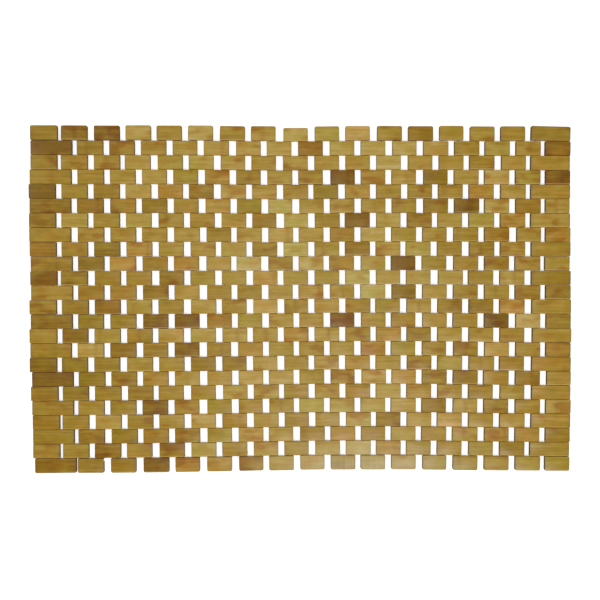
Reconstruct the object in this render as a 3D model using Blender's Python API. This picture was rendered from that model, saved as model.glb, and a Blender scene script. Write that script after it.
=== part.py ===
"""Lattice bath mat: 408 bamboo slats in 24 staggered rows, strung on one cord.

The cord runs up and down the mat through holes drilled across the slats, and turns round in a
groove in the outer edge of the top and bottom rows. Slats of neighbouring rows overlap end to
end, like the plates of a leaf chain, so the mat bends at each run of the cord and rolls up.

Frame: X along the slats and the mat's length, Y across it along the cord runs, Z up, with the
origin at the middle of the underside. Row 1 is at +Y. Units are metres.

One object is one column of slats: those of every second row that share the same cord runs, with
the cord run that they are strung on. The cord is divided where it enters the next column's
groove or hole, so that each column can turn on its neighbour. A column is modelled for the odd
rows, round its own cord run as origin, and a column of even rows is the same piece turned over.
The last cord run and the knots at the cord's two ends are objects of their own.
"""

import bmesh
import bpy
from mathutils import Matrix, Quaternion

# Slats
CORD_PITCH = 0.0231  # between neighbouring cord runs
SLAT_LENGTH = 0.0365  # a short slat, drilled twice; a long slat is one CORD_PITCH longer
SLAT_THICKNESS = 0.006
ROW_PITCH = 0.0213
ROW_GAP = 0.0004  # hairline between neighbouring rows
ROWS = 24
RUNS = 35  # cord runs, side by side along X

# Cord, the holes that it turns in, and the groove that hides each turn from run to run
CORD_RADIUS = 0.0008
HOLE_RADIUS = 0.0016
SIDES = 4  # of a run and of a hole: there are 852 of them
GROOVE_DEPTH = 0.0024
GROOVE_HEIGHT = 0.0034
GROOVE_SPARE = 0.0021  # how far the groove runs on past the middle of the last hole
ROOT_DEPTH = 0.002  # how far the turn starts inside the slat it comes out of

# Knots at the cord's two ends, each in a blind pocket in the edge of a corner slat
KNOT_RADIUS = 0.0015
POCKET_RADIUS = 0.0021
POCKET_DEPTH = 0.0042
POCKET_SIDES = 8
CLEAR = 0.0003  # between pieces that meet
OVERSHOOT = 0.002  # how far a cutter passes the face that it opens

# Worked out from these
SLAT_WIDTH = ROW_PITCH - ROW_GAP
HOLE_INSET = (SLAT_LENGTH - CORD_PITCH) / 2  # from a slat's end to its hole
EDGE_Y = (ROWS * ROW_PITCH - ROW_GAP) / 2  # the mat's outer edge
FLOOR_Y = EDGE_Y - GROOVE_DEPTH  # the groove's floor
TURN_Y = EDGE_Y - GROOVE_DEPTH / 2  # middle of the cord where it turns
RUN_END_Y = EDGE_Y - POCKET_DEPTH + CLEAR  # where a run stops: short of a knot or of the last turn
COLUMNS = (RUNS - 1) // 2  # in the odd rows, and as many in the even rows
TURNED_OVER = Quaternion((0, 1, 0, 0))  # half a turn about X

BAMBOO = (0.38, 0.26, 0.08)
CORD_COLOUR = (0.40, 0.30, 0.17)


def run_x(run):
    """Where cord run 0 to 34 lies along X."""
    return (run - (RUNS - 1) / 2) * CORD_PITCH


def row_y(row):
    """The middle of row 1 to 24 along Y."""
    return ((ROWS + 1) / 2 - row) * ROW_PITCH


def new_collection(name):
    collection = bpy.data.collections.new(name)
    bpy.context.scene.collection.children.link(collection)
    return collection


def new_material(name, colour, roughness):
    material = bpy.data.materials.new(name)
    material.use_nodes = True
    shader = material.node_tree.nodes["Principled BSDF"]
    shader.inputs["Base Color"].default_value = (*colour, 1)
    shader.inputs["Roughness"].default_value = roughness
    shader.inputs["Metallic"].default_value = 0
    return material


def boxes(name, spans):
    """One mesh of separate boxes, each given by its (low, high) along X, Y and Z."""
    mesh = bpy.data.meshes.new(name)
    shape = bmesh.new()
    for axes in spans:
        centre = [(low + high) / 2 for low, high in axes]
        sides = [high - low for low, high in axes]
        place = Matrix.Translation(centre) @ Matrix.Diagonal((*sides, 1))
        bmesh.ops.create_cube(shape, size=1, matrix=place)
    shape.to_mesh(mesh)
    shape.free()
    return mesh


def rod(name, radius, sides, x, low_y, high_y):
    """A prism along Y, for a cord run or for what drills a hole."""
    mesh = bpy.data.meshes.new(name)
    shape = bmesh.new()
    across = Quaternion((1, 1, 0, 0)).normalized().to_matrix().to_4x4()
    bmesh.ops.create_cone(
        shape,
        cap_ends=True,
        segments=sides,
        radius1=radius,
        radius2=radius,
        depth=high_y - low_y,
        matrix=Matrix.Translation((x, (low_y + high_y) / 2, 0)) @ across,
    )
    shape.to_mesh(mesh)
    shape.free()
    return mesh


def cord_turn(name, helpers):
    """The cord from inside its own slat, out into the groove and down into the next run's hole."""
    corner = GROOVE_DEPTH / 2
    route = (
        (0, FLOOR_Y - ROOT_DEPTH),
        (0, TURN_Y - corner),
        (corner, TURN_Y),
        (CORD_PITCH - corner, TURN_Y),
        (CORD_PITCH, TURN_Y - corner),
        (CORD_PITCH, RUN_END_Y + CLEAR),
    )
    curve = bpy.data.curves.new(name, "CURVE")
    curve.dimensions = "3D"
    curve.bevel_depth = CORD_RADIUS
    curve.bevel_resolution = 0
    curve.use_fill_caps = True
    spline = curve.splines.new("POLY")
    spline.points.add(len(route) - 1)
    for point, (x, y) in zip(spline.points, route):
        point.co = (x, y, 0, 1)
    guide = bpy.data.objects.new(name, curve)
    helpers.objects.link(guide)
    graph = bpy.context.evaluated_depsgraph_get()
    mesh = bpy.data.meshes.new_from_object(guide.evaluated_get(graph))
    bpy.data.objects.remove(guide)
    shape = bmesh.new()
    shape.from_mesh(mesh)
    bmesh.ops.remove_doubles(shape, verts=shape.verts, dist=1e-6)
    bmesh.ops.recalc_face_normals(shape, faces=shape.faces)
    shape.to_mesh(mesh)
    shape.free()
    return mesh


def boolean(target, operation, mesh, helpers):
    """Cuts the mesh out of the target, or joins it on."""
    other = bpy.data.objects.new(mesh.name, mesh)
    helpers.objects.link(other)
    other.hide_render = True
    other.display_type = "WIRE"
    modifier = target.modifiers.new(mesh.name, "BOOLEAN")
    modifier.operation = operation
    modifier.solver = "EXACT"
    modifier.object = other


def column_mesh(name, spacings, knot_at, helpers, material):
    """A column for the odd rows, with cord runs at the given spacings from its own.

    The slats hold their own run, and are drilled clear of the others. knot_at is the spacing
    at which the corner slat has a pocket for the cord's end knot, or None.
    """
    low = spacings[0] * CORD_PITCH - HOLE_INSET
    high = spacings[-1] * CORD_PITCH + HOLE_INSET
    half_width, half_thick = SLAT_WIDTH / 2, SLAT_THICKNESS / 2
    slats = [
        ((low, high), (row_y(row) - half_width, row_y(row) + half_width), (-half_thick, half_thick))
        for row in range(1, ROWS, 2)
    ]
    column = bpy.data.objects.new(name, boxes(name, slats))
    helpers.objects.link(column)
    column.hide_render = True
    column.display_type = "WIRE"
    past = EDGE_Y + OVERSHOOT
    for spacing in spacings:
        if spacing:
            drill = rod(name + "_drill", HOLE_RADIUS, SIDES, spacing * CORD_PITCH, -past, past)
            boolean(column, "DIFFERENCE", drill, helpers)
    groove = (
        (-GROOVE_SPARE, CORD_PITCH + GROOVE_SPARE),
        (FLOOR_Y, past),
        (-GROOVE_HEIGHT / 2, GROOVE_HEIGHT / 2),
    )
    boolean(column, "DIFFERENCE", boxes(name + "_groove", [groove]), helpers)
    if knot_at is not None:
        pocket = rod(
            name + "_pocket", POCKET_RADIUS, POCKET_SIDES, knot_at * CORD_PITCH, EDGE_Y - POCKET_DEPTH, past
        )
        boolean(column, "DIFFERENCE", pocket, helpers)
    run = rod(name + "_run", CORD_RADIUS, SIDES, 0, -RUN_END_Y, FLOOR_Y - 2 * ROOT_DEPTH)
    boolean(column, "UNION", run, helpers)
    boolean(column, "UNION", cord_turn(name + "_turn", helpers), helpers)
    graph = bpy.context.evaluated_depsgraph_get()
    mesh = bpy.data.meshes.new_from_object(column.evaluated_get(graph))
    mesh.materials.clear()
    mesh.materials.append(material)
    return mesh


def place(name, mesh, run, parts, turned_over=False):
    """A piece with its origin on its own cord run, which is the axis it turns about."""
    made = bpy.data.objects.new(name, mesh)
    parts.objects.link(made)
    made.location = (run_x(run), 0, SLAT_THICKNESS / 2)
    made.rotation_mode = "QUATERNION"
    if turned_over:
        made.rotation_quaternion = TURNED_OVER
    return made


def last_run(name, parts, material):
    """The cord's last run, which no slat of its own column holds: its end is held by a knot."""
    mesh = rod(name, CORD_RADIUS, SIDES, 0, -RUN_END_Y, RUN_END_Y)
    mesh.materials.append(material)
    place(name, mesh, RUNS - 1, parts)


def knot(name, run, way, parts, material):
    """The cord's end, pulled back into its pocket. way is 1 at the +Y edge and -1 at the other."""
    mesh = bpy.data.meshes.new(name)
    shape = bmesh.new()
    bmesh.ops.create_uvsphere(shape, u_segments=8, v_segments=6, radius=KNOT_RADIUS)
    shape.to_mesh(mesh)
    shape.free()
    mesh.shade_smooth()
    mesh.materials.append(material)
    made = bpy.data.objects.new(name, mesh)
    parts.objects.link(made)
    made.location = (run_x(run), way * (RUN_END_Y + CLEAR + KNOT_RADIUS), SLAT_THICKNESS / 2)


def main():
    for old in list(bpy.data.objects):
        bpy.data.objects.remove(old)
    parts = new_collection("bath_mat")
    helpers = new_collection("cutters")
    bamboo = new_material("bamboo", BAMBOO, 0.45)
    cord = new_material("cord", CORD_COLOUR, 0.7)
    short = column_mesh("short_column", (0, 1), None, helpers, bamboo)
    first_long = column_mesh("first_long_column", (-1, 0, 1), -1, helpers, bamboo)
    last_long = column_mesh("last_long_column", (0, 1, 2), 2, helpers, bamboo)
    # Odd rows end in a long slat at +X, and even rows begin with one at -X
    for column in range(COLUMNS):
        odd = last_long if column == COLUMNS - 1 else short
        even = first_long if column == 0 else short
        place(f"odd_row_slats_{column + 1:02d}", odd, 2 * column, parts)
        place(f"even_row_slats_{column + 1:02d}", even, 2 * column + 1, parts, turned_over=True)
    last_run("last_cord_run", parts, cord)
    knot("start_knot", 0, -1, parts, cord)
    knot("end_knot", RUNS - 1, 1, parts, cord)


main()
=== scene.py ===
"""The looks of a roll-up bamboo lattice bath mat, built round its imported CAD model.

The mat lies flat, with its underside on z = 0 and its middle at the origin. X runs along the
slats, Y across them along the cord runs, and row 1 is at +Y. Units are metres. Each column of
slats, and each cord run with the turn at its end, is one piece that rides on its own CAD body.
"""

import math
from dataclasses import dataclass

import bmesh
import bpy
import numpy as np
from mathutils import Matrix, Vector, noise


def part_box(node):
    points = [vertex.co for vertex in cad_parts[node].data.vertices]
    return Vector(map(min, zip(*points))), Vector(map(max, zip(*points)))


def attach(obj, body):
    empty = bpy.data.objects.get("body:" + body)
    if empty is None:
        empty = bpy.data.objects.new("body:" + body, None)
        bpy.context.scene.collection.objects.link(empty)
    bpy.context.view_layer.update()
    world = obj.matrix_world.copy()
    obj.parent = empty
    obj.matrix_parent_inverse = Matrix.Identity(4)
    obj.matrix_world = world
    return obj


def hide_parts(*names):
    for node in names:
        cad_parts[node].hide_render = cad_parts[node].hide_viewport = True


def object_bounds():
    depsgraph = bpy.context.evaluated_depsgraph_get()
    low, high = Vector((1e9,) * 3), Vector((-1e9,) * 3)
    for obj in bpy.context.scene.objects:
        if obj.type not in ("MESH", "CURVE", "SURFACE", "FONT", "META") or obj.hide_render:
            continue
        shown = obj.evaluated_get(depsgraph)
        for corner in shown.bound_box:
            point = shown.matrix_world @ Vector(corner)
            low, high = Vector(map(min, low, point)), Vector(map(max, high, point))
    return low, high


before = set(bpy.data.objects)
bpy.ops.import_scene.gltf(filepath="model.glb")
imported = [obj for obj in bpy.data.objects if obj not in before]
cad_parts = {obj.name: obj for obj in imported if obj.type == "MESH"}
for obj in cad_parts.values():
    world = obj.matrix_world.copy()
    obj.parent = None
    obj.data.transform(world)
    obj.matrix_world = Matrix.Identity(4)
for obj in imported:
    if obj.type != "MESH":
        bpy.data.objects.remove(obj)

CAD_LOW, CAD_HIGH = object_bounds()
SEED = 24
NOISE_GAIN = 1.6

# The frame's own layout
ROWS = 24
RUNS = 35
COLUMNS = (RUNS - 1) // 2
LENGTH, WIDTH, THICK = CAD_HIGH - CAD_LOW
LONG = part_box("even_row_slats_01")[1].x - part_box("even_row_slats_01")[0].x
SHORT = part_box("odd_row_slats_01")[1].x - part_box("odd_row_slats_01")[0].x
CORD_PITCH = LONG - SHORT
HOLE_INSET = (SHORT - CORD_PITCH) / 2  # from a slat's end to its hole
ROW_GAP = 0.0004
ROW_PITCH = (WIDTH + ROW_GAP) / ROWS
SLAT_WIDTH = ROW_PITCH - ROW_GAP
MID_HEIGHT = THICK / 2
EDGE_Y = WIDTH / 2

# How each slat is shaped. A slat is named by its row, from 1, and its column, from 0
EDGE_ROUND = 0.0007  # eased long and short edges
CORNER_ROUND, CORNER_STEPS = 0.0012, 3  # corners seen from above
OUTER_CORNER_ROUND, OUTER_CORNER_STEPS = 0.0021, 6  # those on the mat's two long edges
ROUND_STEPS = 3  # flats across each eased edge
HOLE_RADIUS, HOLE_SIDES = 0.00135, 14
GROOVE_DEPTH = 0.0024
GROOVE_HEIGHT = 0.0026
GROOVE_END = 0.0016  # from the middle of a hole to the groove's end
GROOVE_ROUND = 0.0008  # of the groove's inner edges
POCKET_RADIUS, POCKET_SIDES = 0.0021, 20
POCKET_DEPTH = 0.0042
PAST = 0.003  # how far a cutter passes the face that it opens
DRILLED_HEIGHT = THICK / 2 - 1.05 * EDGE_ROUND  # what is nearer to mid-height belongs to a hole
CHIPPED_SLAT = (ROWS, 1)
CHIP_RADIUS, CHIP_SIDES = 0.0028, 24  # the nick in its end
CHIP_OUT = 0.0013  # from the slat's end out to the middle of the nick
END_ZONE = 0.002  # a slat is made longer by moving what lies this close to its ends
HAIRLINE = 0.0002  # between the slats of neighbouring rows
SHARP_ANGLE = math.radians(38)

# How the slats have slid along their rows
SWELL, SWELL_GROWTH = 0.0027, 0.0007  # the most they slid; more in the low rows, less in the high
SWELL_LEFT, SWELL_LEAN = 0.122, 0.056  # where: left of the middle, and further left in the high rows
SWELL_REACH = 0.293  # how far to each side it fades out
SPREAD = 0.0025  # slid outward, for each metre from the middle
WAVE, WAVE_LENGTH = 0.0012, 0.62  # to and fro in the high rows
BACK, BACK_X, BACK_REACH = 0.0008, 0.18, 0.07  # slid back in all but the high rows
HIGH_FROM, HIGH_OVER = 0.3, 0.6  # where the high rows begin, and how gradually, as parts of EDGE_Y
ROW_SLIDE, ROW_RHYTHM, ROW_LANE = 0.0003, 0.73, 3.1  # each row's own slide, and where its noise is read
OWN_SLIDE, OWN_LENGTH, OWN_LIMIT = 0.0005, 0.0004, 0.001  # each slat's own, at random

# How the slats at the two ends have slid beyond that, row by row
LEFT_WAVE, LEFT_WAVE_ROW, LEFT_WAVE_ROWS = 0.0011, 2, 9  # with a crest at this row, so many rows long
LEFT_ZIGZAG, LEFT_BACK = 0.0004, 0.0007
LEFT_LOW, LEFT_LOW_ROW, LEFT_LOW_ROWS = 0.004, 19, 5  # inward, from this row on
RIGHT_WAVE, RIGHT_WAVE_ROW, RIGHT_WAVE_ROWS, RIGHT_BACK = 0.0013, 5.5, 23, 0.0005
NEXT_TO_ENDS = {1: -0.0008, COLUMNS - 2: 0.0006}

# How the rows bend across
LOW_FADE = 0.25  # how gradually the low rows' bend gives way to the high rows', as a part of EDGE_Y
ARCH, ARCH_X, ARCH_REACH, ARCH_DROP = 0.0026, 0.05, 0.19, 0.0006  # low rows
ARCH_END, ARCH_END_X, ARCH_END_REACH = 0.0022, 0.2, 0.2  # where the arch comes down at the right
DIP, DIP_X, DIP_REACH = 0.0011, -0.035, 0.08  # high rows
ALL_DOWN = 0.0002
OWN_TURN = math.radians(0.12)

# Slats that differ from the rest
LONGER = 0.00005  # every slat; past a place along X they are longer still, reached over a stretch
LEFT_LONGER, LEFT_FROM, LEFT_OVER = 0.0022, -0.14, 0.21
RIGHT_LONGER, RIGHT_FROM, RIGHT_OVER = 0.0008, 0.2, 0.06
FIRST_SHORT_TRIM, FIRST_LONG_TRIM, LAST_LONG_TRIM = 0.0011, -0.0009, -0.0013  # at the rows' ends
PROUD, PROUD_SPREAD, PROUD_WIDTH = 0.0003, 0.0003, 1.02  # the two outer rows
NARROW_SLAT, NARROW_DOWN, NARROW_WIDTH = (1, 8), 0.0012, 0.92
HANG_LIFTS = (0.0003, -0.0002, -0.00025, -0.00025, -0.0001)  # last slats of the first rows
HANG_TURN, HANG_FADE = math.radians(1.3), 0.6  # of the first, and what part of it each next one has
CLOSED_GAP_SLIDES = (0.0010, -0.0016)  # the last row's first two slats

# The slats' shades, with painted shade toward the mat's two ends, and where painted sheen pales the mat
SHADE, SHADE_SPREAD, SHADE_LIMIT = 0.15, 0.28, 1.15
# Painted shade: how much darker the slats are made toward the mat's two ends, standing in for the light
# falling off there
LEFT_PAINTED_SHADE, RIGHT_PAINTED_SHADE, PAINTED_SHADE_POWER = 0.62, 0.2, 1.5
# Painted sheen: patches where the slats are made paler, standing in for reflected light. Each patch:
# strength, its middle and reach along X, its middle and reach along Y
PAINTED_SHEEN_PATCHES = ((0.45, 0.085, 0.09, -0.26, 0.055), (0.4, 0.03, 0.11, 0.24, 0.05))
# Painted sheen: a greyed, paler patch at the lower middle, laid out as the patches above
SHEEN_WASH_PATCH = (1, 0.09, 0.13, -0.268, 0.034)
WARMTH, WARMTH_SPREAD = 0.05, 0.45
BLOTCH_POWER = 2.2
DARK_SHARE, DARK_SHARE_GROWTH = 0.06, 0.07  # of slats that are dark: in the middle, and more outward
DARK_DROP, DARK_BLOTCHES = (0.4, 0.85), (0.6, 1.0)
PATTERN_RANGE = 40  # how far each slat's pattern is moved at random

# Cord
CORD_RADIUS, CORD_SIDES = 0.0008, 12
CORD_LAY = 0.0052  # length of one twist of its three strands
STRAND_RELIEF = 0.13  # how deep the strands stand out, in cord radii
CLEAR = 0.0003
TURN_ROUND, TURN_ROUND_STEPS, TURN_SPACING = 0.0012, 8, 0.0004
KNOT_STRAND, KNOT_POINTS, KNOT_SIDES = 0.00052, 96, 10
END_REACH = SLAT_WIDTH / 2 - POCKET_DEPTH + CLEAR  # from an edge row's middle to where a run stops
TURN_REACH = (SLAT_WIDTH - GROOVE_DEPTH) / 2  # from an edge row's middle to where the cord turns
TURN_LEAD = 0.004  # how far inside the groove's floor the turn's own points begin
STRAIGHT_REACH = SLAT_WIDTH / 2 - GROOVE_DEPTH - TURN_LEAD


def run_x(run):
    return (run - (RUNS - 1) / 2) * CORD_PITCH


def row_y(row):
    return ((ROWS + 1) / 2 - row) * ROW_PITCH


def noise_at(x, y):
    """Smooth noise from about -1 to 1, the same each run."""
    return noise.noise(Vector((x + SEED, y, 0))) * NOISE_GAIN


# ---------------------------------------------------------------- slat shapes


def slat_outline(length, outer_edge):
    """The slat from above, as (x, y) round its middle; outer_edge rounds the corners at +Y more."""
    points = []
    for turn, (side_x, side_y) in enumerate(((1, 1), (-1, 1), (-1, -1), (1, -1))):
        radius, steps = CORNER_ROUND, CORNER_STEPS
        if outer_edge and side_y > 0:
            radius, steps = OUTER_CORNER_ROUND, OUTER_CORNER_STEPS
        centre = Vector((side_x * (length / 2 - radius), side_y * (SLAT_WIDTH / 2 - radius)))
        for step in range(steps + 1):
            angle = math.pi / 2 * (turn + step / steps)
            points.append(centre + radius * Vector((math.cos(angle), math.sin(angle))))
    return points


def rounded_slab(outline):
    """A closed slab of the outline, THICK high, with its top and bottom edges eased."""
    shape = bmesh.new()
    low = [shape.verts.new((p.x, p.y, -THICK / 2)) for p in outline]
    face = shape.faces.new(low[::-1])
    made = bmesh.ops.extrude_face_region(shape, geom=[face])
    top = [v for v in made["geom"] if isinstance(v, bmesh.types.BMVert)]
    bmesh.ops.translate(shape, verts=top, vec=(0, 0, THICK))
    bmesh.ops.recalc_face_normals(shape, faces=shape.faces)
    rims = [e for e in shape.edges if abs(e.verts[0].co.z - e.verts[1].co.z) < THICK / 10]
    bmesh.ops.bevel(
        shape, geom=rims, offset=EDGE_ROUND, offset_type="OFFSET", segments=ROUND_STEPS, profile=0.5,
        affect="EDGES", clamp_overlap=True,
    )
    return shape


def cutter_rod(shape, x, radius, low_y, high_y, sides):
    """Adds a rod along Y to the shape of what is cut away."""
    across = Matrix.Rotation(math.pi / 2, 4, "X")
    bmesh.ops.create_cone(
        shape, cap_ends=True, segments=sides, radius1=radius, radius2=radius,
        depth=high_y - low_y, matrix=Matrix.Translation((x, (low_y + high_y) / 2, 0)) @ across,
    )


def cut(shape, cutters):
    """The shape with each cutter taken out of it, as a mesh. The cutters are bmeshes."""
    mesh = bpy.data.meshes.new("blank")
    shape.to_mesh(mesh)
    shape.free()
    blank = bpy.data.objects.new("blank", mesh)
    bpy.context.scene.collection.objects.link(blank)
    tools = []
    for cutter in cutters:
        tool_mesh = bpy.data.meshes.new("tool")
        bmesh.ops.recalc_face_normals(cutter, faces=cutter.faces)
        cutter.to_mesh(tool_mesh)
        cutter.free()
        tool = bpy.data.objects.new("tool", tool_mesh)
        bpy.context.scene.collection.objects.link(tool)
        modifier = blank.modifiers.new("cut", "BOOLEAN")
        modifier.operation = "DIFFERENCE"
        modifier.solver = "EXACT"
        modifier.object = tool
        tools.append(tool)
    graph = bpy.context.evaluated_depsgraph_get()
    result = bpy.data.meshes.new_from_object(blank.evaluated_get(graph))
    for made in [blank, *tools]:
        bpy.data.objects.remove(made)
    return result


def slat_arrays(length, holes, outer_edge=False, groove_from=None, pocket_at=None, chipped=False):
    """One slat with its middle at the origin and its outer edge, if it has one, at +Y.

    holes are the places of its holes along X. groove_from is the hole that the cord comes out of
    and pocket_at the one that holds a knot. Returns its points and its faces.
    """
    reach = SLAT_WIDTH / 2 + PAST
    cutters = []
    for x in holes:
        drill = bmesh.new()
        cutter_rod(drill, x, HOLE_RADIUS, -reach, reach, HOLE_SIDES)
        cutters.append(drill)
    if groove_from is not None:
        groove = bmesh.new()
        middle = (groove_from + CORD_PITCH / 2, SLAT_WIDTH / 2 + (PAST - GROOVE_DEPTH) / 2, 0)
        sides = (CORD_PITCH + 2 * GROOVE_END, GROOVE_DEPTH + PAST, GROOVE_HEIGHT, 1)
        bmesh.ops.create_cube(groove, size=1, matrix=Matrix.Translation(middle) @ Matrix.Diagonal(sides))
        inner = [e for e in groove.edges if all(v.co.y < SLAT_WIDTH / 2 for v in e.verts)]
        bmesh.ops.bevel(
            groove, geom=inner, offset=GROOVE_ROUND, segments=ROUND_STEPS, profile=0.5, affect="EDGES"
        )
        cutters.append(groove)
    if pocket_at is not None:
        pocket = bmesh.new()
        floor_y = SLAT_WIDTH / 2 - POCKET_DEPTH
        cutter_rod(pocket, pocket_at, POCKET_RADIUS, floor_y, reach, POCKET_SIDES)
        cutters.append(pocket)
    if chipped:
        chip = bmesh.new()
        middle = (length / 2 + CHIP_OUT, CHIP_RADIUS - SLAT_WIDTH / 2, 0)
        bmesh.ops.create_cone(
            chip, cap_ends=True, segments=CHIP_SIDES, radius1=CHIP_RADIUS, radius2=CHIP_RADIUS,
            depth=2 * THICK, matrix=Matrix.Translation(middle),
        )
        cutters.append(chip)
    mesh = cut(rounded_slab(slat_outline(length, outer_edge)), cutters)
    points = np.array([v.co for v in mesh.vertices])
    faces = [tuple(p.vertices) for p in mesh.polygons]
    bpy.data.meshes.remove(mesh)
    return points, faces


# ------------------------------------------------- how the slats lie and look


def clamp(value, low=0.0, high=1.0):
    return min(high, max(low, value))


def hump(x, middle, reach):
    """1 at the middle, falling off smoothly to both sides."""
    return math.exp(-(((x - middle) / reach) ** 2))


def patch(x, y, strength, middle_x, reach_x, middle_y, reach_y):
    """A soft-edged patch of the mat."""
    return strength * hump(x, middle_x, reach_x) * hump(y, middle_y, reach_y)


@dataclass
class Lie:
    """How one slat lies: its middle, its turn about Z, its width's scale and its extra length."""

    x: float
    y: float
    turned: float
    width: float
    longer: float

    def matrix(self):
        moved = Matrix.Translation((self.x, self.y, MID_HEIGHT))
        stretched = Matrix.Diagonal((1, self.width, 1, 1))
        return moved @ Matrix.Rotation(self.turned, 4, "Z") @ stretched


def drift(x, y):
    """How far the rows have slid along X, and been pushed along Y, at a place in the mat."""
    high = y / EDGE_Y  # 1 at the first row's edge and -1 at the last row's
    top = clamp((high - HIGH_FROM) / HIGH_OVER)
    reach = clamp((x + SWELL_LEFT + SWELL_LEAN * high) / SWELL_REACH, -1, 1)
    along = (SWELL - SWELL_GROWTH * high) * (0.5 + 0.5 * math.cos(math.pi * reach)) + SPREAD * x
    back = BACK * (1 - top) * hump(x, BACK_X, BACK_REACH)
    along += WAVE * top * math.sin(2 * math.pi * x / WAVE_LENGTH) - back
    low = 1 / (1 + math.exp(high / LOW_FADE))
    end = ARCH_END * clamp((x - ARCH_END_X) / ARCH_END_REACH)
    arch = ARCH * hump(x, ARCH_X, ARCH_REACH) - end - ARCH_DROP
    dip = DIP * (1 - low) * hump(x, DIP_X, DIP_REACH)
    return along, low * arch - dip - ALL_DOWN


def end_slide(row, column):
    """How far the slats near the mat's two ends have slid beyond that, row by row."""
    if column == 0:
        wave = LEFT_WAVE * math.cos(2 * math.pi * (row - LEFT_WAVE_ROW) / LEFT_WAVE_ROWS)
        low = LEFT_LOW * clamp((row - LEFT_LOW_ROW) / LEFT_LOW_ROWS)
        return wave + LEFT_ZIGZAG * (-1) ** row + low - LEFT_BACK
    if column == COLUMNS - 1:
        return -RIGHT_BACK - RIGHT_WAVE * math.cos(2 * math.pi * (row - RIGHT_WAVE_ROW) / RIGHT_WAVE_ROWS)
    return NEXT_TO_ENDS.get(column, 0.0)


def end_trim(row, column):
    """How much longer than its neighbours the slat at a row's end is cut."""
    if column == 0:
        return FIRST_SHORT_TRIM if row % 2 else FIRST_LONG_TRIM
    return LAST_LONG_TRIM if column == COLUMNS - 1 and row % 2 else 0.0


def own_share(draw, spread):
    """A slat's own part of a measure, at random."""
    return float(np.clip(draw.normal(0, spread), -OWN_LIMIT, OWN_LIMIT))


def lay_slat(row, column, whole_row, draw):
    x = slat_middle("odd" if row % 2 else "even", column)
    y = row_y(row)
    along, aside = drift(x, y)
    along += whole_row + end_slide(row, column) + own_share(draw, OWN_SLIDE)
    slope = (drift(x + ROW_PITCH, y)[1] - drift(x - ROW_PITCH, y)[1]) / (2 * ROW_PITCH)
    squeeze = (drift(x, y + ROW_PITCH)[1] - drift(x, y - ROW_PITCH)[1]) / 2
    width = (ROW_PITCH + min(squeeze, ROW_GAP) - HAIRLINE) / SLAT_WIDTH
    left = LEFT_LONGER * clamp((LEFT_FROM - x) / LEFT_OVER)
    longer = LONGER + left + RIGHT_LONGER * clamp((x - RIGHT_FROM) / RIGHT_OVER)
    longer += own_share(draw, OWN_LENGTH)
    trim = end_trim(row, column)
    longer += trim
    along += trim / 2 if column == 0 else -trim / 2  # its outer end stays
    if row in (1, ROWS):  # the outer rows lie a little proud of the rest
        aside += (1 if row == 1 else -1) * (PROUD + abs(draw.normal(0, PROUD_SPREAD)))
        width *= PROUD_WIDTH
    return Lie(x + along, y + aside, slope + draw.normal(0, OWN_TURN), width, longer)


def lay_out(draw):
    """How each slat lies, by its row and column."""
    places = {}
    for row in range(1, ROWS + 1):
        whole_row = ROW_SLIDE * noise_at(row * ROW_RHYTHM, ROW_LANE)
        for column in range(COLUMNS):
            places[row, column] = lay_slat(row, column, whole_row, draw)
    # A narrow slat in the middle of the first row
    places[NARROW_SLAT].y -= NARROW_DOWN
    places[NARROW_SLAT].width *= NARROW_WIDTH
    # The first row's last slat hangs down at its free end, and those below it a little less
    for row, lift in enumerate(HANG_LIFTS, 1):
        places[row, COLUMNS - 1].y += lift
        places[row, COLUMNS - 1].turned -= HANG_TURN * HANG_FADE ** (row - 1)
    # The last row's first two slats have slid together
    for column, slide in enumerate(CLOSED_GAP_SLIDES):
        places[ROWS, column].x += slide
    return places


def slat_middle(parity, column):
    """The middle of this column's slats along X."""
    runs = column_runs(parity, column)
    return (run_x(runs[0]) + run_x(runs[-1])) / 2


def column_runs(parity, column):
    """The cord runs that this column's slats are drilled for."""
    if parity == "odd":
        return [2 * column, 2 * column + 1] + ([RUNS - 1] if column == COLUMNS - 1 else [])
    return ([0] if column == 0 else []) + [2 * column + 1, 2 * column + 2]


def is_long(parity, column):
    """Whether this column's slats are long ones, drilled for three cord runs."""
    return len(column_runs(parity, column)) == 3


def column_body(parity, column):
    if column == 0:
        return "left_end"
    if column == COLUMNS - 1:
        return "right_end"
    return f"{parity}_column_{column + 1:02d}"


def mesh_from(name, points, faces, material):
    mesh = bpy.data.meshes.new(name)
    mesh.from_pydata(points.tolist(), [], faces)
    mesh.update()
    mesh.materials.append(material)
    made = bpy.data.objects.new(name, mesh)
    bpy.context.scene.collection.objects.link(made)
    return made


def set_vectors(mesh, name, values):
    attribute = mesh.attributes.new(name, "FLOAT_VECTOR", "POINT")
    attribute.data.foreach_set("vector", np.asarray(values, np.float32).ravel())


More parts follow.
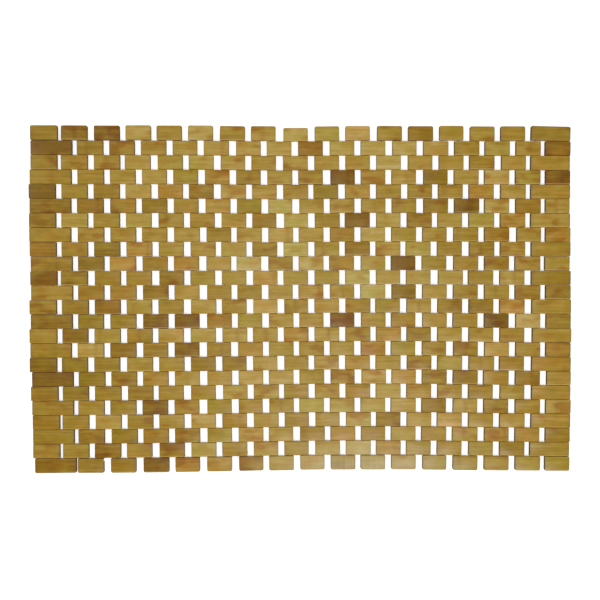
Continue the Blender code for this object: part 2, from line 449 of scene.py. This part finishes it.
def slat_column(parity, column, shapes, places, material, draw):
    """A column's 12 slats as one piece, each with its own place and its own wood."""
    centre = slat_middle(parity, column)
    length = LONG if is_long(parity, column) else SHORT
    all_points, all_faces, grain, place, tone, sheen_wash = [], [], [], [], [], []
    count = 0
    for row in range(1 if parity == "odd" else 2, ROWS + 1, 2):
        points, faces = shapes(parity, column, row)
        lie = places[row, column]
        turned_over = row % 2 == 0
        flip = Matrix.Rotation(math.pi, 4, "X") if turned_over else Matrix.Identity(4)
        matrix = np.array(lie.matrix() @ flip)
        side = np.sign(points[:, 0]) * (np.abs(points[:, 0]) > length / 2 - END_ZONE)
        points = points + np.outer(side * lie.longer / 2, (1, 0, 0))
        placed = points @ matrix[:3, :3].T + matrix[:3, 3]
        # Its holes, groove and pocket stay on the lines that the mat folds about
        drilled = np.abs(points[:, 2]) < DRILLED_HEIGHT
        placed[drilled, 0] = points[drilled, 0] + centre
        all_points.append(placed)
        all_faces.extend([tuple(i + count for i in face) for face in faces])
        count += len(points)
        # The slat's own coordinates, moved far off, so that no two slats share a pattern
        grain.append(points + draw.uniform(-PATTERN_RANGE, PATTERN_RANGE, 3))
        half_length = length / 2 + lie.longer / 2
        upright = -1 if turned_over else 1
        place.append(points / (half_length, upright * SLAT_WIDTH / 2, THICK / 2))
        # How strongly painted sheen pales each point, by its place in the mat
        sheen_wash.append([patch(x, y, *SHEEN_WASH_PATCH) for x, y, _ in placed])
        tone.append(np.tile(slat_tone(lie.x, lie.y, draw), (len(points), 1)))
    made = mesh_from(
        f"{parity}_row_bamboo_slats_{column + 1:02d}", np.vstack(all_points), all_faces, material
    )
    mesh = made.data
    set_vectors(mesh, "grain", np.vstack(grain))
    set_vectors(mesh, "place", np.vstack(place))
    set_vectors(mesh, "tone", np.vstack(tone))
    # Painted sheen: its share at each point
    sheen_mask = mesh.attributes.new("sheen_wash", "FLOAT", "POINT")
    sheen_mask.data.foreach_set("value", np.concatenate(sheen_wash).astype(np.float32))
    mesh.shade_smooth()
    mesh.set_sharp_from_angle(angle=SHARP_ANGLE)
    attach(made, column_body(parity, column))
    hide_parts(f"{parity}_row_slats_{column + 1:02d}")


def slat_tone(x, y, draw):
    """(shade, warmth, blotches) of one slat: each from about -1 to 1, blotches from 0 to 1."""
    side = abs(x) / (LENGTH / 2)
    shade = draw.normal(SHADE, SHADE_SPREAD)
    # Painted shade: darker toward the mat's two ends
    shade -= (LEFT_PAINTED_SHADE if x < 0 else RIGHT_PAINTED_SHADE) * side ** PAINTED_SHADE_POWER
    # Painted sheen: paler patches at the bottom middle and the top middle
    shade += sum(patch(x, y, *pale) for pale in PAINTED_SHEEN_PATCHES)
    warmth = draw.normal(WARMTH, WARMTH_SPREAD)
    blotches = draw.random() ** BLOTCH_POWER
    if draw.random() < DARK_SHARE + DARK_SHARE_GROWTH * side:
        shade -= draw.uniform(*DARK_DROP)
        blotches = draw.uniform(*DARK_BLOTCHES)
    return float(np.clip(shade, -SHADE_LIMIT, SHADE_LIMIT)), float(np.clip(warmth, -1, 1)), blotches


def make_shapes():
    """A function that gives the slat shape for a place in the mat, making each kind once."""
    made = {}

    def shape(parity, column, row):
        runs = column_runs(parity, column)
        edge_row, chipped = row in (1, ROWS), (row, column) == CHIPPED_SLAT
        middle = slat_middle(parity, column)
        long_slat = is_long(parity, column)
        key = (parity if long_slat else "", edge_row, chipped)
        if key not in made:
            turn = next(run for run in runs if run % 2 == (0 if parity == "odd" else 1))
            holes = [run_x(run) - middle for run in runs]
            pocket = None
            if long_slat and edge_row:
                pocket = holes[-1] if parity == "odd" else holes[0]
            made[key] = slat_arrays(
                run_x(runs[-1]) - run_x(runs[0]) + 2 * HOLE_INSET, holes, edge_row,
                run_x(turn) - middle if edge_row else None, pocket, chipped,
            )
        return made[key]

    return shape


# ----------------------------------------------------------------------- cord


def rounded_route(corners, radius, spacing):
    """Points at about this spacing along a line, which turns on an arc at each right-angled corner."""
    route = [Vector(corners[0])]
    for before, corner, after in zip(corners, corners[1:], corners[2:]):
        before, corner, after = Vector(before), Vector(corner), Vector(after)
        coming, going = (corner - before).normalized(), (after - corner).normalized()
        start = corner - coming * radius
        for step in range(TURN_ROUND_STEPS + 1):
            angle = math.pi / 2 * step / TURN_ROUND_STEPS
            route.append(start + radius * (math.sin(angle) * coming + (1 - math.cos(angle)) * going))
    route.append(Vector(corners[-1]))
    points = []
    for first, second in zip(route, route[1:]):
        steps = max(1, round((second - first).length / spacing))
        points.extend(first.lerp(second, step / steps) for step in range(steps))
    points.append(route[-1])
    return points


def twisted_tube(points, radius, sides, lay):
    """A closed tube with the three-lobed section of a laid cord, turning once in each lay."""
    rings, travelled = [], 0.0
    side_way = Vector((0, 0, 1))
    for index, point in enumerate(points):
        ahead = points[min(index + 1, len(points) - 1)] - points[max(index - 1, 0)]
        along = ahead.normalized()
        across = along.cross(side_way).normalized()
        if index:
            travelled += (point - points[index - 1]).length
        twist = 2 * math.pi * travelled / lay
        ring = []
        for side in range(sides):
            angle = 2 * math.pi * side / sides
            lobe = radius * (1 - STRAND_RELIEF + STRAND_RELIEF * math.cos(3 * (angle - twist)))
            ring.append(point + lobe * (math.cos(angle) * across + math.sin(angle) * side_way))
        rings.append(ring)
    vertices = np.array([v for ring in rings for v in ring])
    faces = []
    for ring in range(len(rings) - 1):
        for side in range(sides):
            a, b = ring * sides + side, ring * sides + (side + 1) % sides
            faces.append((a, b, b + sides, a + sides))
    last = (len(rings) - 1) * sides
    faces.append(tuple(range(sides))[::-1])
    faces.append(tuple(range(last, last + sides)))
    return vertices, faces


def cord_run(run, places, material):
    """A cord run through its column's holes, with the turn in the mat's edge that follows it."""
    way, first_row, last_row = (1, ROWS, 1) if run % 2 == 0 else (-1, 1, ROWS)
    x, near_y = cord_at(last_row, run, places)
    start = Vector((x, cord_at(first_row, run, places)[1] - way * END_REACH, MID_HEIGHT))
    turn = []
    if run == RUNS - 1:
        end = Vector((x, near_y + way * END_REACH, MID_HEIGHT))
    else:
        end = Vector((x, near_y + way * STRAIGHT_REACH, MID_HEIGHT))
        far, far_y = cord_at(last_row, run + 1, places)
        corners = [
            end,
            (x, near_y + way * TURN_REACH, MID_HEIGHT),
            (far, far_y + way * TURN_REACH, MID_HEIGHT),
            (far, far_y + way * (END_REACH + CLEAR), MID_HEIGHT),
        ]
        turn = rounded_route(corners, TURN_ROUND, TURN_SPACING)
    points = [start.lerp(end, step / ROWS) for step in range(ROWS + 1)] + turn[1:]
    vertices, faces = twisted_tube(points, CORD_RADIUS, CORD_SIDES, CORD_LAY)
    made = mesh_from(f"cord_run_{run + 1:02d}", vertices, faces, material)
    made.data.shade_smooth()
    body = "right_end" if run == RUNS - 1 else column_body("even" if run % 2 else "odd", run // 2)
    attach(made, body)
    if run == RUNS - 1:
        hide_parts("last_cord_run")


def cord_at(row, run, places):
    """Where the cord passes the middle of the slat of this row."""
    column = min(run // 2 if row % 2 else max(run - 1, 0) // 2, COLUMNS - 1)
    lie = places[row, column]
    return run_x(run), lie.y + (run_x(run) - lie.x) * math.tan(lie.turned)


def knot_points(count):
    """A trefoil knot of unit size about its middle, pulled tight along Y."""
    points = []
    for step in range(count):
        t = 2 * math.pi * step / count
        points.append(Vector((
            (math.sin(t) + 2 * math.sin(2 * t)) / 3,
            math.sin(3 * t) / 3,
            (math.cos(t) - 2 * math.cos(2 * t)) / 3,
        )))
    return points


def end_knot(name, node, row, run, places, material):
    """The cord's end knot, in its pocket in the edge of a corner slat."""
    low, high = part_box(node)
    middle, reach = (low + high) / 2, (high.x - low.x) / 2
    middle.y += cord_at(row, run, places)[1] - row_y(row)
    strand, count, sides = KNOT_STRAND, KNOT_POINTS, KNOT_SIDES
    loop = [middle + point * (reach - strand) for point in knot_points(count)]
    vertices, faces = [], []
    for index, point in enumerate(loop):
        along = (loop[(index + 1) % count] - loop[index - 1]).normalized()
        across = along.cross((point - middle).normalized()).normalized()
        up = across.cross(along)
        for side in range(sides):
            angle = 2 * math.pi * side / sides
            vertices.append(point + strand * (math.cos(angle) * across + math.sin(angle) * up))
            following = (index + 1) % count
            a, b = index * sides + side, index * sides + (side + 1) % sides
            c, d = following * sides + (side + 1) % sides, following * sides + side
            faces.append((a, d, c, b))
    made = mesh_from(name, np.array(vertices), faces, material)
    shape = bmesh.new()
    shape.from_mesh(made.data)
    bmesh.ops.recalc_face_normals(shape, faces=shape.faces)
    shape.to_mesh(made.data)
    shape.free()
    made.data.shade_smooth()
    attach(made, "right_end" if run else "left_end")
    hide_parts(node)


# ------------------------------------------------------------------ materials


# Cells a metre along X, Y and Z of each pattern in the bamboo
BANDS, STREAKS, FIBRES, CLOUDS = (9, 260, 260), (22, 850, 850), (60, 3200, 3200), (55, 90, 90)
LEANS, SPOTS, SHEEN_BANDS, WAVES, PORES = (45, 80, 80), (38, 85, 85), (320, 8, 8), (0, 140, 140), (300, 2300, 2300)

# Colours, and tints that a colour is multiplied by
BAMBOO_STOPS = (  # from the darkest wood to the palest
    (0.0, (0.200, 0.102, 0.006)),
    (0.25, (0.280, 0.164, 0.011)),
    (0.5, (0.366, 0.230, 0.027)),
    (0.75, (0.448, 0.308, 0.066)),
    (1.0, (0.530, 0.408, 0.150)),
)
ORANGE_TINT, OLIVE_TINT = (1.08, 0.88, 0.80), (0.93, 1.06, 0.85)
VESSEL_TINT, STRAND = (0.66, 0.56, 0.42), (0.60, 0.46, 0.16)
# The second is the pale grey that painted sheen mixes in
BLOTCH_TINT, SHEEN_WASH_COLOUR = (0.80, 0.56, 0.26), (0.47, 0.385, 0.225)
NODE_SHADOW_TINT, NODE_LINE_TINT = (0.74, 0.54, 0.34), (0.50, 0.32, 0.18)
# Tints for a greyed band next to slat ends and for painted shade along the seams, and the painted edge
# highlight's colour
RIM_TINT, SEAM_SHADE_TINT, EDGE_HIGHLIGHT_COLOUR = (0.66, 0.66, 0.66), (0.50, 0.34, 0.14), (0.62, 0.50, 0.20)
# End grain colours: real porous end grain, made nearly black as painted shade in the narrow gaps
SHADED_PORE_DARK, SHADED_PORE_PALE = (0.032, 0.015, 0.004), (0.080, 0.043, 0.013)
CORD_DARK, CORD_PALE, CORD_SOIL_TINT = (0.25, 0.17, 0.085), (0.47, 0.36, 0.21), (0.68, 0.58, 0.46)


class Nodes:
    """Short calls for building one material's node tree."""

    def __init__(self, name):
        self.material = bpy.data.materials.new(name)
        self.material.use_nodes = True
        self.tree = self.material.node_tree
        self.shader = self.tree.nodes["Principled BSDF"]

    def add(self, kind, **settings):
        node = self.tree.nodes.new(kind)
        for key, value in settings.items():
            setattr(node, key, value)
        return node

    def feed(self, source, target):
        if isinstance(source, bpy.types.NodeSocket):
            self.tree.links.new(source, target)
        else:
            target.default_value = source

    def math(self, operation, a, b=None, c=None, clamp=False):
        node = self.add("ShaderNodeMath", operation=operation, use_clamp=clamp)
        for socket, value in zip(node.inputs, (a, b, c)):
            if value is not None:
                self.feed(value, socket)
        return node.outputs[0]

    def attribute(self, name):
        return self.add("ShaderNodeAttribute", attribute_name=name).outputs["Vector"]

    def split(self, vector):
        node = self.add("ShaderNodeSeparateXYZ")
        self.feed(vector, node.inputs[0])
        return node.outputs

    def stretched(self, vector, scale):
        node = self.add("ShaderNodeVectorMath", operation="MULTIPLY")
        self.feed(vector, node.inputs[0])
        node.inputs[1].default_value = scale
        return node.outputs[0]

    def noise(self, vector, scale, detail=2.0, roughness=0.5):
        """Noise from 0 to 1 at so many cells a metre along X, Y and Z."""
        node = self.add("ShaderNodeTexNoise")
        self.feed(self.stretched(vector, scale), node.inputs["Vector"])
        node.inputs["Scale"].default_value = 1
        node.inputs["Detail"].default_value = detail
        node.inputs["Roughness"].default_value = roughness
        return node.outputs["Fac"]

    def band(self, value, low, high, out_low=0.0, out_high=1.0):
        """A smooth step from out_low, where the value is low, to out_high, where it is high."""
        node = self.add("ShaderNodeMapRange", clamp=True, interpolation_type="SMOOTHSTEP")
        self.feed(value, node.inputs["Value"])
        for name, number in zip(("From Min", "From Max", "To Min", "To Max"), (low, high, out_low, out_high)):
            self.feed(number, node.inputs[name])
        return node.outputs["Result"]

    def mix(self, factor, first, second, blend="MIX"):
        node = self.add("ShaderNodeMix", data_type="RGBA", blend_type=blend)
        self.feed(factor, node.inputs[0])
        for source, target in ((first, node.inputs[6]), (second, node.inputs[7])):
            if not isinstance(source, bpy.types.NodeSocket):
                source = (*source, 1)
            self.feed(source, target)
        return node.outputs[2]

    def tint(self, factor, colour, tint):
        return self.mix(factor, colour, tint, "MULTIPLY")

    def swing(self, value, amount, level, clamp=False):
        """The level, moved down and up by half the amount as the value goes from 0 to 1."""
        return self.math("MULTIPLY_ADD", self.math("SUBTRACT", value, 0.5), amount, level, clamp)

    def own_number(self, value, times):
        """Another number from 0 to 1 for each slat, made from the one that it has."""
        return self.math("FRACT", self.math("MULTIPLY", value, times))

    def bump(self, height, strength, distance):
        node = self.add("ShaderNodeBump")
        node.inputs["Strength"].default_value = strength
        node.inputs["Distance"].default_value = distance
        self.feed(height, node.inputs["Height"])
        self.feed(node.outputs["Normal"], self.shader.inputs["Normal"])

    def set_shader(self, values):
        for name, value in values.items():
            self.shader.inputs[name].default_value = value


def slat_shade(n, shade, bands, streaks, clouds):
    """The slat's own shade, moved up and down by its bands and streaks."""
    level = n.math("MULTIPLY_ADD", shade, 0.42, 0.5)
    level = n.swing(bands, 0.5, level)
    level = n.swing(streaks, 0.5, level)
    level = n.swing(clouds, 0.5, level, clamp=True)
    ramp = n.add("ShaderNodeValToRGB")
    ramp.color_ramp.elements.remove(ramp.color_ramp.elements[1])
    for place, colour in BAMBOO_STOPS:
        stop = ramp.color_ramp.elements[0] if place == 0 else ramp.color_ramp.elements.new(place)
        stop.position = place
        stop.color = (*colour, 1)
    n.feed(level, ramp.inputs[0])
    return ramp.outputs["Color"]


def olive_and_orange(n, colour, grain, warmth):
    """Some slats lean to olive and some to orange, and it drifts along each one."""
    lean = n.swing(n.noise(grain, LEANS, 1.0), 3.2, warmth)
    colour = n.tint(n.band(lean, 0.0, 1.4, 0, 0.9), colour, ORANGE_TINT)
    return n.tint(n.band(lean, -0.1, -1.3, 0, 0.9), colour, OLIVE_TINT)


def fine_fibres(n, colour, fibres):
    """Thin dark vessels, and pale strands between them."""
    colour = n.tint(n.band(fibres, 0.42, 0.22, 0, 0.45), colour, VESSEL_TINT)
    return n.mix(n.band(fibres, 0.60, 0.80, 0, 0.20), colour, STRAND)


def blotched(n, colour, grain, blotch):
    """Soft orange-brown blotches, on some slats more than on others."""
    spots = n.noise(grain, SPOTS, 1.5, 0.4)
    least = n.math("MULTIPLY_ADD", blotch, -0.20, 0.62)
    return n.tint(n.band(spots, least, n.math("ADD", least, 0.22), 0, 0.85), colour, BLOTCH_TINT)


def painted_sheen_wash(n, colour, grain):
    """Painted sheen: a pale, greyed patch near the mat's lower edge, in faint bands across the slats."""
    sheen_mask = n.add("ShaderNodeAttribute", attribute_name="sheen_wash").outputs["Fac"]
    sheen_mask = n.math("MULTIPLY", sheen_mask, n.band(n.noise(grain, SHEEN_BANDS, 1.0), 0.25, 0.7, 0.4, 0.85))
    return n.mix(sheen_mask, colour, SHEEN_WASH_COLOUR)


def bamboo_node(n, colour, grain, along, warmth, blotch, clouds):
    """A bamboo node crosses some of the slats, as a wavy brown shadow with a faint line in it."""
    wave = n.math("MULTIPLY", n.math("SUBTRACT", n.noise(grain, WAVES, 2.0), 0.5), 0.3)
    centre = n.math("MULTIPLY_ADD", warmth, 1.3, wave)
    away = n.math("ABSOLUTE", n.math("SUBTRACT", along, centre))
    has_node = n.band(n.own_number(blotch, 7.0), 0.74, 0.78)
    line = n.math("MULTIPLY", n.band(away, 0.045, 0.01), has_node)
    near = n.band(away, 0.34, 0.02)
    shadow = n.math("MULTIPLY", near, n.math("MULTIPLY", has_node, n.band(clouds, 0.3, 0.6)))
    colour = n.tint(n.math("MULTIPLY", shadow, 0.45), colour, NODE_SHADOW_TINT)
    return n.tint(n.math("MULTIPLY", line, 0.14), colour, NODE_LINE_TINT), line


def shaded_end_grain(n, colour, grain, along):
    """The porous end grain of a slat, made nearly black as painted shade in the narrow gaps, and a greyed,
    darker band next to it.
    """
    end = n.band(n.math("ABSOLUTE", along), 0.972, 0.999)
    rim = n.band(n.math("ABSOLUTE", along), 0.84, 0.98)
    colour = n.tint(n.math("MULTIPLY", rim, 0.28), colour, RIM_TINT)
    pores = n.band(n.noise(grain, PORES, 1.0), 0.42, 0.62)
    ends = n.mix(pores, SHADED_PORE_DARK, SHADED_PORE_PALE)
    # Painted shade: the end faces darkened nearly to black
    return n.mix(n.math("MULTIPLY", end, 0.95), colour, ends), end


def seam_shade_and_highlight(n, colour, across, streaks, blotch):
    """Painted shade along the seams between rows, and on some slats a painted highlight along the edge beside
    one.
    """
    ragged = n.swing(streaks, 0.06, n.math("ABSOLUTE", across))
    # Painted highlight: a pale line along one eased edge of some slats
    edge_highlight = n.math("MULTIPLY", n.band(across, -0.80, -0.87), n.band(across, -0.95, -0.89))
    edge_highlight = n.math("MULTIPLY", edge_highlight, n.band(n.own_number(blotch, 29.0), 0.62, 0.72))
    colour = n.mix(n.math("MULTIPLY", edge_highlight, 0.42), colour, EDGE_HIGHLIGHT_COLOUR)
    # Painted shade along the seams between rows
    edge = n.band(ragged, 0.91, 0.985)
    return n.tint(n.math("MULTIPLY", edge, 0.45), colour, SEAM_SHADE_TINT)


def bamboo_material():
    """Clear-coated bamboo: fibres along X, a shade for each slat, nodes, blotches and end grain."""
    n = Nodes("bamboo")
    grain = n.attribute("grain")
    along, across, _ = n.split(n.attribute("place"))
    shade, warmth, blotch = n.split(n.attribute("tone"))

    bands = n.noise(grain, BANDS, 2.0, 0.5)
    streaks = n.noise(grain, STREAKS, 3.0, 0.6)
    fibres = n.noise(grain, FIBRES, 2.0, 0.6)
    clouds = n.noise(grain, CLOUDS, 2.0, 0.5)

    colour = slat_shade(n, shade, bands, streaks, clouds)
    colour = olive_and_orange(n, colour, grain, warmth)
    colour = fine_fibres(n, colour, fibres)
    colour = blotched(n, colour, grain, blotch)
    colour = painted_sheen_wash(n, colour, grain)
    colour, line = bamboo_node(n, colour, grain, along, warmth, blotch, clouds)
    colour, end = shaded_end_grain(n, colour, grain, along)
    colour = seam_shade_and_highlight(n, colour, across, streaks, blotch)
    n.feed(colour, n.shader.inputs["Base Color"])

    polish = n.own_number(blotch, 13.0)
    rough = n.math("MULTIPLY_ADD", polish, 0.16, n.math("MULTIPLY_ADD", fibres, 0.2, 0.2))
    rough = n.math("MULTIPLY_ADD", end, 0.4, rough, clamp=True)
    n.feed(rough, n.shader.inputs["Roughness"])
    height = n.math("MULTIPLY_ADD", streaks, 0.6, n.math("MULTIPLY", fibres, 0.4))
    n.bump(n.math("MULTIPLY_ADD", line, 1.2, height), strength=0.32, distance=0.00012)
    n.set_shader({"IOR": 1.5, "Specular IOR Level": 0.2, "Coat Weight": 0.08, "Coat Roughness": 0.3})
    return n.material


def cord_material():
    """Tan laid cord, with paler loose fibres and some soiled stretches."""
    n = Nodes("cord")
    place = n.add("ShaderNodeTexCoord").outputs["Object"]
    fuzz = n.noise(place, (2600, 2600, 2600), 3.0, 0.6)
    soil = n.noise(place, (120, 120, 120), 2.0)
    colour = n.mix(n.band(fuzz, 0.3, 0.75), CORD_DARK, CORD_PALE)
    colour = n.tint(n.band(soil, 0.45, 0.75, 0, 0.5), colour, CORD_SOIL_TINT)
    n.feed(colour, n.shader.inputs["Base Color"])
    n.feed(n.math("MULTIPLY_ADD", fuzz, 0.2, 0.68), n.shader.inputs["Roughness"])
    n.bump(fuzz, strength=0.5, distance=0.0001)
    n.set_shader({"Sheen Weight": 0.3})
    return n.material


# ---------------------------------------------------------------------- stage


FLOOR_SIZE = 40  # from its middle to each edge
FLOOR_BELOW = 0.0002  # from the mat's underside down to it
GLOW = {"From Min": 0.3, "From Max": 1.0, "To Min": 1.05, "To Max": 0.12}  # of the sky, by height
SOFTBOXES = (  # name, place, aim, size, power
    ("overhead_softbox", (0.05, -0.2, 2.3), (0, 0, 0), (1.1, 1.8), 12),
    ("low_softbox", (0.42, -0.83, 2.3), (0.12, -0.27, 0), (0.5, 0.34), 10),
    ("side_softbox", (-1.6, 0.9, 1.8), (0, 0, 0), (1.2, 1.2), 10),
)
CAMERA_PLACE = (-0.0319, 0.0283, 1.2416)
CAMERA_TURNS = (-1.367, -1.289, -0.102)  # degrees about X, Y and Z


def pale_floor():
    mesh = bpy.data.meshes.new("floor")
    shape = bmesh.new()
    bmesh.ops.create_grid(shape, x_segments=1, y_segments=1, size=FLOOR_SIZE)
    shape.to_mesh(mesh)
    shape.free()
    floor = bpy.data.objects.new("floor", mesh)
    bpy.context.scene.collection.objects.link(floor)
    floor.location.z = CAD_LOW.z - FLOOR_BELOW
    n = Nodes("pale_floor")
    n.set_shader({
        "Base Color": (0.93, 0.93, 0.93, 1), "Roughness": 0.9, "Specular IOR Level": 0.0,
        "Emission Color": (1, 1, 1, 1), "Emission Strength": 0.5,
    })
    floor.data.materials.append(n.material)


def studio_sky():
    """White all round, bright near the horizon and dim overhead."""
    world = bpy.data.worlds.new("studio")
    bpy.context.scene.world = world
    world.use_nodes = True
    background = world.node_tree.nodes["Background"]
    background.inputs["Color"].default_value = (1, 1, 1, 1)
    above = world.node_tree.nodes.new("ShaderNodeSeparateXYZ")
    direction = world.node_tree.nodes.new("ShaderNodeTexCoord")
    dimmed = world.node_tree.nodes.new("ShaderNodeMapRange")
    dimmed.interpolation_type = "SMOOTHSTEP"
    for name, number in GLOW.items():
        dimmed.inputs[name].default_value = number
    world.node_tree.links.new(direction.outputs["Generated"], above.inputs[0])
    world.node_tree.links.new(above.outputs["Z"], dimmed.inputs["Value"])
    world.node_tree.links.new(dimmed.outputs["Result"], background.inputs["Strength"])


def softboxes():
    for name, place, aim, size, power in SOFTBOXES:
        light = bpy.data.lights.new(name, "AREA")
        light.shape = "RECTANGLE"
        light.size, light.size_y = size
        light.energy = power
        lamp = bpy.data.objects.new(name, light)
        bpy.context.scene.collection.objects.link(lamp)
        lamp.location = place
        lamp.rotation_mode = "QUATERNION"
        lamp.rotation_quaternion = (Vector(place) - Vector(aim)).to_track_quat("Z", "Y")


def camera():
    """Above the mat and a little to its left, looking down a degree or so off the vertical."""
    data = bpy.data.cameras.new("camera")
    data.lens, data.sensor_width = 50, 36
    made = bpy.data.objects.new("camera", data)
    bpy.context.scene.collection.objects.link(made)
    made.location = CAMERA_PLACE
    made.rotation_euler = [math.radians(angle) for angle in CAMERA_TURNS]
    bpy.context.scene.camera = made


# ----------------------------------------------------------------------- main


def main():
    draw = np.random.default_rng(SEED)
    bamboo, cord = bamboo_material(), cord_material()
    shapes = make_shapes()
    places = lay_out(draw)
    for column in range(COLUMNS):
        for parity in ("odd", "even"):
            slat_column(parity, column, shapes, places, bamboo, draw)
    for run in range(RUNS):
        cord_run(run, places, cord)
    end_knot("cord_start_knot", "start_knot", ROWS, 0, places, cord)
    end_knot("cord_end_knot", "end_knot", 1, RUNS - 1, places, cord)
    pale_floor()
    studio_sky()
    softboxes()
    camera()
    bpy.context.scene.view_settings.view_transform = "Standard"


main()
